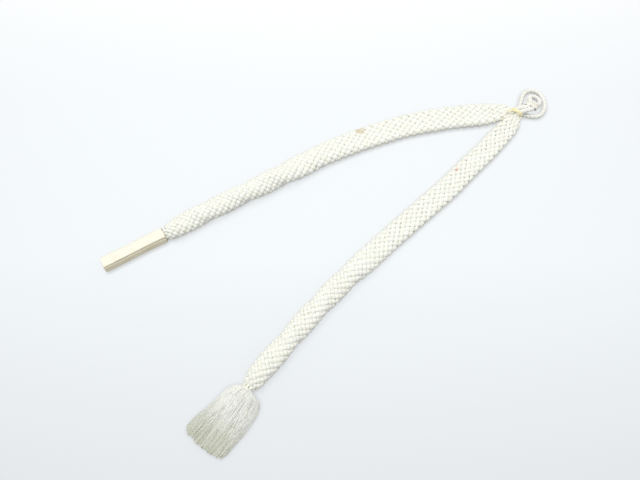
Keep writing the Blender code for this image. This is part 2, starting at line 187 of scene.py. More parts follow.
LINES = {cord: Line(cord) for cord in (1, 2)}
HINGES = {cord: [(CORD_LENGTH[cord] - LAST_HINGE_INSET[cord]) * k / 5 for k in range(6)]
          for cord in (1, 2)}


def require_hinges_on_lines():
    """The looks follow the frame, so its hinges have to lie on the middle lines."""
    for cord in (1, 2):
        for k, name in enumerate(("lift_1", "lift_2", "sway_3", "sway_4"), 1):
            joint = joint_at("cord_%d_%s" % (cord, name))
            gap = np.linalg.norm(LINES[cord].point(HINGES[cord][k])[:2] - joint[:2])
            if gap > 1.2:
                raise RuntimeError("the middle line has left the frame's hinges by %.2f mm" % gap)


require_hinges_on_lines()

# ------------------------------------------------------------------ braid shape
STRANDS_EACH_WAY = 8
STRAND_THICK = 1.75
STRAND_SIDES = 12
STRAND_STEP = 0.55
STRAND_START = -4.0
STRAND_OVERRUN = {1: 6.0, 2: 3.4}       # past the cord's end
WEAVE_RISE = 0.70                       # from the mid-surface to a strand's middle
SKIN = WEAVE_RISE + STRAND_THICK / 2
TWIST_RATE = 180.0 / 31.0               # the full part turns half way round in 31 mm
# which way the full part twists, and the distance along at which its turn is zero
TWIST_HAND = {1: (1.0, 208.0), 2: (-1.0, 200.7)}

# distances along the cord and the braid's width there; the tail's are from the cord's end
TAIL_AT = [-15, -7, -3, -0.5, 2, 10]
WIDTH_AT = [-8, -4, -2, 0, 3.5, 8, 14, 22, 40, 60, 95, 130, 160, 175, 190, 205, 225]
WIDTHS = {
    1: [7.4, 8.4, 9.6, 11.0, 13.4, 15.6, 18.2, 20.0, 20.4, 20.4, 19.7, 19.5, 19.0, 18.2, 17.6,
        16.8, 16.4],
    2: [7.4, 8.4, 9.6, 11.0, 13.2, 15.1, 16.7, 17.6, 17.8, 18.0, 18.3, 18.2, 17.9, 17.5, 17.1,
        16.8, 16.4],
}
TAIL_WIDTHS = [16.2, 15.4, 13.2, 10.2, 7.7, 6.6]
# the same for its thickness
THICK_AT = [-8, -4, -1.5, 2, 6, 25, 100, 118, 135, 160, 182, 200]
THICKS = [7.6, 7.6, 7.2, 6.3, 5.9, 6.0, 6.0, 6.3, 7.4, 9.8, 12.0, 12.7]
TAIL_THICKS = [12.3, 11.5, 9.8, 8.0, 6.6, 5.8]

# distances along, and how far the braid's middle lies to the left of the middle line
DRIFT = {
    1: ([-4, -2, 0, 3.5, 9, 15, 24, 60, 95, 160, 182, 205, 230, 265, 284],
        [0, -0.9, -1.6, -2.0, -1.8, -1.4, -0.8, -0.7, -0.9, -0.8, 0.0, 0.0, -0.3, -0.4, 0]),
    2: ([-4, -2, 0, 3.5, 9, 15, 24, 60, 100, 140, 170, 220, 245, 265, 285],
        [0, 0.9, 1.6, 2.0, 1.8, 1.5, 1.0, 0.8, 0.35, 0.2, -0.1, -0.1, -0.2, -0.4, 0]),
}
# distances along, and the section's lean in radians where one head lies on the other
LEAN = {
    1: ([-3, 0, 12, 22], [0.0, 0.05, 0.04, 0.0]),
    2: ([-4, -1, 4, 10, 22], [0.0, -0.17, -0.24, -0.16, 0.0]),
}


def outline(cord, along):
    """Width, thickness, roundness (0 flat, 1 full), crease depth and twist."""
    length = CORD_LENGTH[cord]
    tail = [length + offset for offset in TAIL_AT]
    grid = np.arange(-10.0, length + 12.0, 0.5)
    width = blur(np.interp(grid, WIDTH_AT + tail, WIDTHS[cord] + TAIL_WIDTHS), 12, 3.0)
    thick = blur(np.interp(grid, THICK_AT + tail, THICKS + TAIL_THICKS), 12, 3.0)
    rng = rng_for(cord, 3)
    width = width * (1 + soft_noise(grid, 14.0, rng, 0.010) * ease(grid / 20))
    thick = thick * (1 + soft_noise(grid, 18.0, rng, 0.015) * ease(grid / 20))
    full = ease((grid - 118.0) / 58.0)
    # the full part lies like a loosely twisted cord; the two twist opposite ways
    hand, zero = TWIST_HAND[cord]
    turn = np.cumsum(ease((grid - 138.0) / 44.0)) * 0.5 * TWIST_RATE
    turn = np.radians(hand * (turn - np.interp(zero, grid, turn)))
    crease = 0.115 * ease((grid - 158.0) / 34.0) * ease((length - 2 - grid) / 22)
    return [np.interp(along, grid, values) for values in (width, thick, full, crease, turn)]


def turned(y, z, angle):
    cosine = np.cos(angle)[:, None]
    sine = np.sin(angle)[:, None]
    return y * cosine - z * sine, y * sine + z * cosine


class Surface:
    """The braid's mid-surface: closed sections along it, their points evenly spaced.

    In a section y is to the left of the middle line and z is up.
    """
    STEP = 0.5
    START = -6.0
    POINTS = 192

    def __init__(self, cord):
        length = CORD_LENGTH[cord]
        self.along = np.arange(self.START, length + 8.0, self.STEP)
        width, thick, self.full, crease, self.turn = outline(cord, self.along)
        half_width = np.maximum(width / 2 - SKIN, 1.0)
        half_thick = np.minimum(np.maximum(thick / 2 - SKIN, 0.9), half_width)
        sections = [self.section(*values) for values in
                    zip(half_width, half_thick, self.full, crease, self.turn)]
        y, z, normal_y, normal_z, self.perimeter = (np.array(rows) for rows in zip(*sections))
        lean = np.interp(self.along, *LEAN[cord])
        self.grids = turned(y, z, lean) + turned(normal_y, normal_z, lean)
        # it rests on the table, sinking a little where it is full
        half = self.grids[1].max(1) + SKIN
        self.middle_z = 0.45 * half + 0.55 * blur(half, 40, 13.0) - 0.25 * self.full
        wander = (soft_noise(self.along, 22.0, rng_for(cord, 5), 0.22)
                  * ease((self.along - 10) / 20) * ease((length - 6 - self.along) / 20))
        self.left = wander + blur(np.interp(self.along, *DRIFT[cord]), 8, 3.0)

    def section(self, half_width, half_thick, full, crease, turn):
        """Points y and z of one section, their normals, and its perimeter."""
        angle = np.linspace(0, TAU, 361)
        cosine, sine = np.cos(angle), np.sin(angle)
        # the full section: nearly round, with a soft crease on either side
        twisted = angle - turn
        fold = np.exp(-((1 - np.abs(np.sin(twisted))) / 0.085))
        swell = (1 + 0.03 * np.cos(2 * twisted)) * (1 - crease * fold)
        y = half_width * swell * cosine
        z = half_thick * swell * sine
        if full < 0.98:                 # rounded edges of a flattened tube
            straight = half_width - half_thick
            flat_y = np.where(cosine >= 0, straight, -straight) + half_thick * cosine
            y = y * full + flat_y * (1 - full)
            z = z * full + half_thick * sine * (1 - full)
        arc = arc_length(np.stack([y, z], -1))
        even = np.arange(self.POINTS) / self.POINTS
        y = np.interp(even, arc / arc[-1], y)
        z = np.interp(even, arc / arc[-1], z)
        run_y = np.roll(y, -2) - np.roll(y, 2)
        run_z = np.roll(z, -2) - np.roll(z, 2)
        run = np.hypot(run_y, run_z) + 1e-9
        return y, z, run_z / run, -run_y / run, arc[-1]

    def sample(self, along, around):
        """Section y and z and their normals; around runs 0 to 1 round the section."""
        row = np.clip((along - self.START) / self.STEP, 0, len(self.along) - 1.001)
        i = row.astype(int)
        part = row - i
        column = (around % 1.0) * self.POINTS
        j = column.astype(int) % self.POINTS
        share = column - np.floor(column)
        k = (j + 1) % self.POINTS
        return [(grid[i, j] * (1 - share) + grid[i, k] * share) * (1 - part)
                + (grid[i + 1, j] * (1 - share) + grid[i + 1, k] * share) * part
                for grid in self.grids]


# ------------------------------------------------------------------ mesh making
class Builder:
    """Collects closed tubes, then makes one mesh with its attributes."""

    def __init__(self):
        self.points, self.normals, self.yarn, self.weave = [], [], [], []
        self.quads, self.caps = [], []
        self.count = 0

    def tube(self, rings, normals, along, across, number, weave=None):
        """Rings (count, sides, 3) with an along per ring; weave holds three values per ring."""
        count, sides = rings.shape[:2]
        self.points.append(rings.reshape(-1, 3))
        if normals is not None:
            self.normals.append(normals.reshape(-1, 3))
        yarn = np.zeros((count, sides, 3))
        yarn[..., 0] = along[:, None]
        yarn[..., 1] = across
        yarn[..., 2] = number
        self.yarn.append(yarn.reshape(-1, 3))
        weave = np.zeros((count, 3)) if weave is None else weave
        self.weave.append(np.repeat(weave, sides, axis=0))
        index = np.arange(count * sides).reshape(count, sides)
        beside = np.roll(index, -1, axis=1)
        quads = np.stack([index[:-1], beside[:-1], beside[1:], index[1:]], -1).reshape(-1, 4)
        ends = [index[0][::-1], index[-1]]
        # faces point outward when the signed volume of the closed tube is positive
        local = rings.reshape(-1, 3) - rings[0, 0]
        corners = local[quads]
        volume = sum((corners[:, 0] * np.cross(corners[:, i], corners[:, i + 1])).sum()
                     for i in (1, 2))
        for end in ends:
            rim = local[end]
            volume += (rim[0] * np.cross(rim[1:-1], rim[2:])).sum()
        if volume < 0:
            quads = quads[:, ::-1]
            ends = [end[::-1] for end in ends]
        self.quads.append(quads + self.count)
        self.caps += [end + self.count for end in ends]
        self.count += count * sides

    def make(self, name, slot, replaces=None, rides=None):
        """Makes the object in its slot's material, hides the part it replaces and hangs it on the
        body it rides.
        """
        points = np.concatenate(self.points) * MM
        quads = np.concatenate(self.quads)
        loops = np.concatenate([quads.ravel()] + self.caps)
        sizes = [4] * len(quads) + [len(cap) for cap in self.caps]
        starts = np.cumsum([0] + sizes[:-1])
        mesh = bpy.data.meshes.new(name)
        mesh.vertices.add(len(points))
        mesh.vertices.foreach_set("co", points.astype(np.float32).ravel())
        mesh.loops.add(len(loops))
        mesh.loops.foreach_set("vertex_index", loops.astype(np.int32))
        mesh.polygons.add(len(starts))
        mesh.polygons.foreach_set("loop_start", starts.astype(np.int32))
        mesh.update(calc_edges=True)
        mesh.polygons.foreach_set("use_smooth", np.ones(len(starts), bool))
        for key, values in (("fil", self.yarn), ("cord", self.weave)):
            attribute = mesh.attributes.new(key, "FLOAT_VECTOR", "POINT")
            flat = np.concatenate(values).astype(np.float32).ravel()
            attribute.data.foreach_set("vector", flat)
        if self.normals:
            normals = np.concatenate(self.normals)[loops]
            place = quads.size
            for cap in self.caps:
                rim = points[cap]
                facing = np.cross(rim[1] - rim[0], rim[len(cap) // 2] - rim[0])
                normals[place:place + len(cap)] = unit(facing)
                place += len(cap)
            mesh.normals_split_custom_set(normals.astype(np.float32))
        mesh.materials.append(MATERIALS[slot])
        mesh.validate()
        piece = bpy.data.objects.new(name, mesh)
        bpy.context.scene.collection.objects.link(piece)
        if rides:
            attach(piece, rides)
        if replaces:
            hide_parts(replaces)
        return piece


def ribbon_rings(centres, outward, width, thick, sides, power=2.2):
    """Rings of a soft flattened strand, their normals, and the place across it."""
    tangent = unit(np.gradient(centres, axis=0))
    outward = unit(outward - (outward * tangent).sum(-1, keepdims=True) * tangent)
    sideways = np.cross(tangent, outward)[:, None]
    outward = outward[:, None]
    angle = (np.arange(sides) + 0.5) / sides * TAU
    cosine, sine = np.cos(angle), np.sin(angle)
    across = width[:, None] / 2 * signed_power(cosine, 2 / power)
    height = thick[:, None] / 2 * signed_power(sine, 2 / power)
    rings = centres[:, None] + sideways * across[..., None] + outward * height[..., None]
    normals = (sideways * (cosine * thick[:, None])[..., None]
               + outward * (sine * width[:, None])[..., None])
    return rings, unit(normals), across


def settle(rings, start=0.6, rest=0.04):
    """Presses whatever is lower than start flat on to the table."""
    z = rings[..., 2]
    pressed = rest + (start - rest) * np.exp((z - start) / (start - rest))
    rings[..., 2] = np.where(z < start, pressed, z)
    return rings


def thread_rings(centres, radius, sides, up=UP, phase=0.5):
    """Rings of a round thread, their normals, and the place across it."""
    tangent = unit(np.gradient(centres, axis=0))
    # the small vector gives a side even where the thread runs along up
    side = unit(unit(np.cross(tangent, up)) + 1e-6 * np.array([1.0, 0.3, 0.0]))
    top = np.cross(side, tangent)
    angle = (np.arange(sides) + phase) / sides * TAU
    radius = np.broadcast_to(radius, (len(centres),))
    normals = (side[:, None] * np.cos(angle)[None, :, None]
               + top[:, None] * np.sin(angle)[None, :, None])
    rings = centres[:, None] + normals * radius[:, None, None]
    return rings, normals, radius[:, None] * np.cos(angle)


# ------------------------------------------------------------------ materials
WHITE = (1, 1, 1, 1)
BLACK = (0, 0, 0, 1)


def linear(*rgb):
    """Linear colour from 0-255 sRGB values."""
    return tuple((c / 255 / 12.92) if c / 255 <= 0.04045 else ((c / 255 + 0.055) / 1.055) ** 2.4
                 for c in rgb) + (1.0,)


class Net:
    """A new material and short-hand for wiring its shader nodes."""

    def __init__(self, name):
        self.material = bpy.data.materials.new(name)
        self.material.use_nodes = True
        self.tree = self.material.node_tree
        self.tree.nodes.clear()
        output = self.node("ShaderNodeOutputMaterial")
        self.bsdf = self.node("ShaderNodeBsdfPrincipled")
        self.tree.links.new(self.bsdf.outputs["BSDF"], output.inputs["Surface"])

    def node(self, kind, **settings):
        node = self.tree.nodes.new(kind)
        for key, value in settings.items():
            if key in node.inputs:
                self.put(node.inputs[key], value)
            else:
                setattr(node, key, value)
        return node

    def put(self, socket, value):
        if isinstance(value, bpy.types.NodeSocket):
            self.tree.links.new(value, socket)
        else:
            socket.default_value = value

    def surface(self, inputs):
        for key, value in inputs.items():
            self.put(self.bsdf.inputs[key], value)

    def math(self, operation, first, second, clamp=False):
        node = self.node("ShaderNodeMath", operation=operation, use_clamp=clamp)
        self.put(node.inputs[0], first)
        self.put(node.inputs[1], second)
        return node.outputs[0]

    def times(self, value, factor):
        return self.math("MULTIPLY", value, factor)

    def plus(self, value, extra):
        return self.math("ADD", value, extra)

    def above(self, value, start, gain):
        """Grows from 0 to 1 as the value rises from start."""
        return self.math("MULTIPLY", self.math("SUBTRACT", value, start, True), gain, True)

    def below(self, value, start, gain):
        """Grows from 0 to 1 as the value falls from start."""
        return self.above(start, value, gain)

    def ragged(self, value, noise, size):
        """Shifts a value up and down with a noise."""
        return self.plus(value, self.times(self.math("SUBTRACT", noise, 0.5), size))

    def mix(self, first, second, amount, blend="MIX"):
        node = self.node("ShaderNodeMix", data_type="RGBA", blend_type=blend)
        # the node holds float, vector and colour sockets under the same names
        for index, value in ((0, amount), (6, first), (7, second)):
            self.put(node.inputs[index], value)
        return node.outputs[2]

    def ramp(self, amount, stops):
        node = self.node("ShaderNodeValToRGB")
        elements = node.color_ramp.elements
        while len(elements) < len(stops):
            elements.new(0.5)
        for i, (position, colour) in enumerate(stops):
            elements[i].position = position
            elements[i].color = colour[:3] + (1.0,)
        self.put(node.inputs["Fac"], amount)
        return node.outputs["Color"]

    def remap(self, value, low, high, kind="SMOOTHSTEP"):
        """0 where the value is low, 1 where it is high."""
        node = self.node("ShaderNodeMapRange", interpolation_type=kind, Value=value)
        node.inputs["From Min"].default_value = low
        node.inputs["From Max"].default_value = high
        return node.outputs["Result"]

    def noise(self, vector, scale=1.0, detail=2.0, rough=0.5):
        return self.node("ShaderNodeTexNoise", Vector=vector, Scale=scale, Detail=detail,
                         Roughness=rough).outputs["Fac"]

    def combine(self, x, y, z):
        return self.node("ShaderNodeCombineXYZ", X=x, Y=y, Z=z).outputs[0]

    def stretched(self, x, y, z, x_scale, y_scale):
        """A texture place whose unequal scales draw a noise out into streaks."""
        return self.combine(self.times(x, x_scale), self.times(y, y_scale), z)

    def split(self, vector):
        return self.node("ShaderNodeSeparateXYZ", Vector=vector).outputs

    def attribute(self, name):
        return self.split(self.node("ShaderNodeAttribute", attribute_name=name).outputs["Vector"])

    def bump(self, coarse, fine, coarse_share, strength, distance):
        height = self.plus(self.times(coarse, coarse_share), self.times(fine, 1 - coarse_share))
        node = self.node("ShaderNodeBump", Strength=strength, Distance=distance, Height=height)
        self.put(self.bsdf.inputs["Normal"], node.outputs["Normal"])


def silk(name, light, dark, warm, filament, twist, bump=0.5, rough=0.5, sheen=0.3,
         scatter=0.12, dip_shade=None, far_end=None, stains=()):
    """Yarn of parallel filaments; the attribute fil is mm along, mm across, yarn number.

    dip_shade: painted shade, a warmer and darker colour where a strand runs under its neighbours.
    far_end: mm along at which the colour starts and ends changing, and the new colour.
    stains: place in mm, radius in mm, colour and strength of each.
    """
    net = Net(name)
    along, across, number = net.attribute("fil")
    # filaments run along the yarn, with a light twist
    twisted = net.plus(across, net.times(along, twist))
    coarse = net.noise(net.stretched(twisted, along, number, x_scale=1.0 / filament,
                                     y_scale=0.12), detail=2.5, rough=0.6)
    fine = net.noise(net.stretched(twisted, along, number, x_scale=3.0 / filament,
                                   y_scale=0.35), detail=1.0)
    # slow change of tone along each yarn and between yarns
    slow = net.noise(net.stretched(along, number, 0.0, x_scale=0.07, y_scale=3.7))
    place = net.node("ShaderNodeTexCoord").outputs["Object"]
    patch = net.noise(place, scale=55.0)
    colour = net.mix(linear(*light), linear(*warm), net.above(slow, start=0.35, gain=1.6))
    colour = net.mix(colour, linear(*warm), net.above(patch, start=0.45, gain=1.1))
    gaps = net.ramp(coarse, [(0.30, linear(*dark)), (0.52, WHITE)])
    colour = net.mix(colour, gaps, amount=0.45, blend="MULTIPLY")
    if far_end:
        start, end, end_colour = far_end
        reached = net.remap(net.ragged(along, patch, size=14.0), start, end)
        end_colour = net.mix(linear(*end_colour), gaps, amount=0.35, blend="MULTIPLY")
        colour = net.mix(colour, end_colour, reached)
    # painted shade: where a strand dips under its neighbours its colour turns to the given
    # warmer, darker tone
    if dip_shade:
        lift = net.attribute("cord")[2]
        colour = net.mix(colour, linear(*dip_shade), net.below(lift, start=-0.1, gain=1.3))
    for middle, radius, stain_colour, strength in stains:
        node = net.node("ShaderNodeVectorMath", operation="DISTANCE")
        net.put(node.inputs[0], place)
        node.inputs[1].default_value = in_metres(middle)
        # full inside 0.35 of the radius, gone at the radius
        stained = net.remap(net.ragged(node.outputs["Value"], coarse, size=0.0015),
                            low=radius * MM, high=radius * 0.35 * MM)
        colour = net.mix(colour, linear(*stain_colour), net.times(stained, strength))
    net.surface({
        "Base Color": colour,
        "Roughness": net.plus(rough - 0.08, net.times(fine, factor=0.2)),
        "IOR": 1.46,
        "Specular IOR Level": 0.42,
        "Sheen Weight": sheen,
        "Sheen Roughness": 0.45,
        "Sheen Tint": (1.0, 0.99, 0.95, 1.0),
        "Subsurface Weight": scatter,
        "Subsurface Radius": (1.0, 0.85, 0.6),
        "Subsurface Scale": 0.0012,
    })
    net.bump(coarse, fine, coarse_share=0.7, strength=bump, distance=0.00022)
    return net.material


def paper(name):
    """Cream paper: fibres, faint blotches and specks, with painted shade on its steep sides."""
    net = Net(name)
    along, across, number = net.attribute("fil")
    flat = net.combine(along, across, number)
    blotch = net.noise(flat, scale=0.16, detail=3.0, rough=0.6)
    fibre = net.noise(net.stretched(along, across, number, x_scale=0.7, y_scale=2.6),
                      detail=4.0, rough=0.65)
    grit = net.noise(flat, scale=5.0, detail=3.0, rough=0.7)
    colour = net.mix(linear(247, 243, 228), linear(242, 233, 208),
                     net.above(blotch, start=0.38, gain=2.0))
    colour = net.mix(colour, linear(230, 220, 190), net.above(fibre, start=0.5, gain=0.9))
    speck = net.ramp(grit, [(0.70, BLACK), (0.78, WHITE)])
    colour = net.mix(colour, linear(205, 190, 150), net.times(speck, factor=0.18))
    # painted shade: darker, yellower colour where the paper's surface turns steeply away from
    # upward
    normal_z = net.split(net.node("ShaderNodeNewGeometry").outputs["Normal"])[2]
    painted_side_shade = net.below(normal_z, start=0.80, gain=1.9)
    colour = net.mix(colour, linear(218, 206, 172), net.times(painted_side_shade, factor=0.85))
    net.surface({
        "Base Color": colour,
        "Roughness": net.plus(0.52, net.times(fibre, factor=0.22)),
        "Specular IOR Level": 0.4,
        "Subsurface Weight": 0.1,
        "Subsurface Radius": (1.0, 0.8, 0.5),
        "Subsurface Scale": 0.0006,
    })
    net.bump(fibre, grit, coarse_share=0.6, strength=0.35, distance=0.00012)
    return net.material


# glow of the table with a painted falloff of light, from GLOW_NEAR_Y to GLOW_FAR_Y, in metres:
# share of the way, colour
GLOW = [(0.0, (0.550, 0.565, 0.590)), (0.25, (0.625, 0.645, 0.665)),
        (0.5, (0.730, 0.760, 0.775)), (0.75, (0.745, 0.770, 0.785)),
        (1.0, (0.835, 0.835, 0.835))]
GLOW_NEAR_Y, GLOW_FAR_Y = -0.40, 0.16
GLOW_MIDDLE_X = -0.14
UNSEEN_GLOW = 0.22              # strength of the glow for all but camera rays


def table_material():
    """A pale glowing table top, most of its brightness its own glow, with a painted falloff of
    light and painted contact shadows.
    """
    net = Net("pale_backdrop")
    place = net.node("ShaderNodeTexCoord").outputs["Object"]
    x, y, _ = net.split(place)
    colour = net.mix(linear(112, 114, 115), linear(114, 115, 116),
                     net.times(net.noise(place, scale=6.0), factor=0.5))
    bright = net.ramp(net.remap(y, GLOW_NEAR_Y, GLOW_FAR_Y, kind="LINEAR"), GLOW)
    # painted falloff of light: a little dimmer to the left and right
    off = net.times(net.plus(x, -GLOW_MIDDLE_X), factor=4.0)
    dim = net.math("SUBTRACT", 1.0, net.times(net.times(off, off), factor=0.032))
    bright = net.mix(bright, net.combine(dim, dim, dim), amount=1.0, blend="MULTIPLY")
    # painted contact shadow: the glow is darkened where something lies close
    near = net.node("ShaderNodeAmbientOcclusion", samples=12, Distance=0.0032)
    free = net.math("POWER", near.outputs["AO"], 1.5)
    shade = net.mix((0.72, 0.705, 0.69, 1.0), WHITE, free)
    bright = net.mix(bright, shade, amount=1.0, blend="MULTIPLY")
    seen = net.node("ShaderNodeLightPath").outputs["Is Camera Ray"]
    net.surface({
        "Base Color": colour,
        "Roughness": 0.75,
        "Specular IOR Level": 0.2,
        "Emission Strength": net.plus(UNSEEN_GLOW, net.times(seen, 1 - UNSEEN_GLOW)),
        "Emission Color": bright,
    })
    return net.material


# place, radius, colour and strength
STAINS = [
    (LINES[1].point(120.0, left=-7.6, z=4.6), 5.2, (212, 196, 162), 0.75),
    (LINES[2].point(67.5, left=-4.5, z=5.6), 2.2, (236, 190, 180), 0.6),
]

# by the slot they fill
MATERIALS = {
    "braid_silk": silk(
        "braid_silk_look", light=(248, 248, 241), dark=(216, 214, 197), warm=(245, 243, 229),
        # the colour given for where strands dip under their neighbours is painted shade
        filament=0.30, twist=0.10, rough=0.46, sheen=0.35, dip_shade=(243, 234, 204),
        stains=STAINS),
    "loop_cord": silk(
        "loop_cord_look", light=(253, 252, 247), dark=(232, 228, 212), warm=(250, 247, 236),
        filament=0.22, twist=0.12, rough=0.48),
    "tassel_silk": silk(
        "tassel_silk_look", light=(254, 254, 247), dark=(222, 219, 200), warm=(250, 248, 234),
        filament=0.10, twist=0.8, bump=0.3, rough=0.42, sheen=0.35, scatter=0.2,
        far_end=(12.0, 46.0, (218, 219, 200))),
    "binding_thread": silk(
        "binding_thread_look", light=(249, 247, 238), dark=(212, 208, 188),
        warm=(245, 240, 222), filament=0.12, twist=0.9, bump=0.4),
    "tie_thread": silk(
        "golden_thread_look", light=(255, 247, 208), dark=(247, 228, 168),
        warm=(255, 242, 188), filament=0.14, twist=0.9, bump=0.4, rough=0.4, scatter=0.15),
    "paper": paper("cream_paper_look"),
}


# ------------------------------------------------------------------ braids
def strand(cord, surface, hand, i):
    """One strand: distance along, centres, outward normals, width, thickness and lift.

    hand is the way it goes round, 1 or -1; lift is 1 on top of the weave and -1 under it.
    """
    rng = rng_for(cord, 0 if hand == 1 else 1, i)
    length = CORD_LENGTH[cord]
    end = length + STRAND_OVERRUN[cord]
    count = int((end - STRAND_START) / STRAND_STEP) + 1
    along = np.linspace(STRAND_START, end, count)
    # turns per mm, from the length of a whole turn; slower where gathered at the ends
    rate = 1.0 / np.interp(along, [0, 115, 145, 170, 192, length], [48, 48, 45, 43, 34, 34])
    rate *= 0.35 + 0.65 * ease((along + 1) / 12)
    if cord == 2:
        rate *= 1 - 0.6 * ease((along - (length - 5)) / 6)
    turns = np.concatenate([[0], np.cumsum((rate[1:] + rate[:-1]) / 2 * np.diff(along))])
    twist = np.interp(along, surface.along, surface.turn)
    around = i / STRANDS_EACH_WAY + hand * turns + 0.5 * twist / TAU
    wobble = soft_noise(along, 5.5, rng, 0.0035) * ease((along - 2) / 8)
    # strands stay on top for longer than they take to dive
    lift = signed_power(hand * np.cos(TAU * STRANDS_EACH_WAY * turns), 0.85)
    y, z, normal_y, normal_z = surface.sample(along, around + wobble)
    perimeter = np.interp(along, surface.along, surface.perimeter)
    full = np.interp(along, surface.along, surface.full)
    space = perimeter / STRANDS_EACH_WAY * np.cos(np.arctan2(perimeter * rate, 1.0))
    rise = WEAVE_RISE * np.minimum(1.0, space / 2.6) * (1 + 0.10 * full)
    puff = 1 + soft_noise(along, 3.2, rng, 0.05)
    height = rise * lift + soft_noise(along, 4.0, rng, 0.06)
    width = space * (0.90 + 0.10 * lift) * (1 + soft_noise(along, 6.0, rng, 0.04))
    thick = np.minimum(STRAND_THICK, space * 0.54) * (1 + 0.08 * lift) * puff
    line_x, line_y, angle = LINES[cord].at(along)
    left_x, left_y = -np.sin(angle), np.cos(angle)
    left = y + normal_y * height + np.interp(along, surface.along, surface.left)
    up = np.interp(along, surface.along, surface.middle_z) + z + normal_z * height
    centres = np.stack([line_x + left_x * left, line_y + left_y * left, up], -1)
    outward = np.stack([left_x * normal_y, left_y * normal_y, normal_z], -1)
    return along, centres, unit(outward), width, thick, lift


def braid(cord):
    """The braid in six pieces, one over each hinge of the frame."""
    surface = Surface(cord)
    hinges = HINGES[cord]
    cuts = [STRAND_START] + [(hinges[k] + hinges[k + 1]) / 2 for k in range(5)] + [1e9]
    builders = [Builder() for _ in range(6)]
    for direction, hand in enumerate((1, -1)):
        for i in range(STRANDS_EACH_WAY):
            along, centres, outward, width, thick, lift = strand(cord, surface, hand, i)
            rings, normals, across = ribbon_rings(centres, outward, width, thick, STRAND_SIDES)
            rings = settle(rings)
            arc = arc_length(centres)
            number = cord * 40 + direction * 17 + i * 2.31
            first_place = np.full(len(along), i / STRANDS_EACH_WAY)
            weave = np.stack([along, first_place, lift], -1)
            for k, builder in enumerate(builders):
                first = max(np.searchsorted(along, cuts[k]) - 1, 0)
                part = slice(first, np.searchsorted(along, cuts[k + 1]))
                builder.tube(rings[part], normals[part], arc[part], across[part], number,
                             weave=weave[part])
    # the weave bends gradually across each hinge
    # a range along the cord about each hinge; the ends of each are worked out below, but nothing
    # uses them
    bends = ([(-1.5, 9.0)] + [(hinge - 14, hinge + 14) for hinge in hinges[1:5]]
             + [(hinges[5] - 5.0, hinges[5] + 4.0)])
    for k, builder in enumerate(builders):
        piece = builder.make("cord_%d_woven_%d" % (cord, k), "braid_silk",
                             replaces="cord_%d_braid_%d" % (cord, k) if k else None)
        start, end = (in_metres(LINES[cord].point(along)) for along in bends[k])
        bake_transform(piece)


# ------------------------------------------------------------------ thin cords and bindings
def bezier(start, start_pull, end_pull, end, count):
    t = np.linspace(0, 1, count + 1)[:, None]
    return (start * (1 - t) ** 3 + start_pull * 3 * t * (1 - t) ** 2
            + end_pull * 3 * t * t * (1 - t) + end * t ** 3)


def resample(path, step, soft):
    """Even steps along a path, its corners softened over about soft mm."""
    gaps = np.linalg.norm(np.diff(path, axis=0), axis=1)
    path = path[np.concatenate([[True], gaps > 1e-6])]
    arc = arc_length(path)
    count = max(int(arc[-1] / step), 4)
    even = np.linspace(0, arc[-1], count + 1)
    line = np.stack([np.interp(even, arc, path[:, i]) for i in range(3)], -1)
    reach = int(3 * soft / step) + 1
    weights = gauss_weights(np.arange(-reach, reach + 1) * step / soft)
    lead = line[0] - (line[1] - line[0]) * np.arange(reach, 0, -1)[:, None]
    tail = line[-1] + (line[-1] - line[-2]) * np.arange(1, reach + 1)[:, None]
    longer = np.concatenate([lead, line, tail])
    softened = np.stack([np.convolve(longer[:, i], weights, "valid") for i in range(3)], -1)
    softened[[0, -1]] = line[[0, -1]]
    return softened


def wound(builder, centre, axis, length, half_width, half_height, power, radius, turns, rng,
          number, start=-90.0):
    """Fine thread wound turn beside turn round a flattened bundle lying along axis."""
    per_turn = 44
    turn = np.arange(int(turns * per_turn) + 1) / per_turn
    angle = math.radians(start) + TAU * turn
    y = half_width * signed_power(np.cos(angle), 2 / power)
    z = half_height * signed_power(np.sin(angle), 2 / power)
    x = (turn / turns - 0.5) * (length - 2 * radius)
    x = x + soft_noise(turn, 0.6, rng, radius * 0.16)
    swell = 1 + soft_noise(turn, 0.5, rng, 0.012)
    path = (centre + axis * x[:, None] + left_of(axis) * (y * swell)[:, None]
            + UP * (z * swell)[:, None])
    path = resample(path, radius * 0.9, radius * 0.8)
    rings, normals, across = thread_rings(path, radius, 7, up=axis)
    arc = np.arange(len(path)) * radius * 0.9
    builder.tube(settle(rings, 0.25), normals, arc, across, number)


# ------------------------------------------------------------------ loops and tie
LOOP_CORD_RADIUS = 1.8
LOOP_STRANDS_EACH_WAY = 4
LOOP_STRAND_THICK = 0.92
LOOP_WEAVE_RISE = 0.28
LOOP_STEP = 0.24
LOOP_OPENING = 50.0             # degrees left open on each side of a ring's back
LEG_SPACING = 3.75
TIE_LENGTH = 2.6
LOW_LEG_Z, HIGH_LEG_Z = 2.9, 6.65
LOOP_2_CENTRE = np.array([15.9, 11.9, 0.0])
LOOP_2_HEADING = 58.0


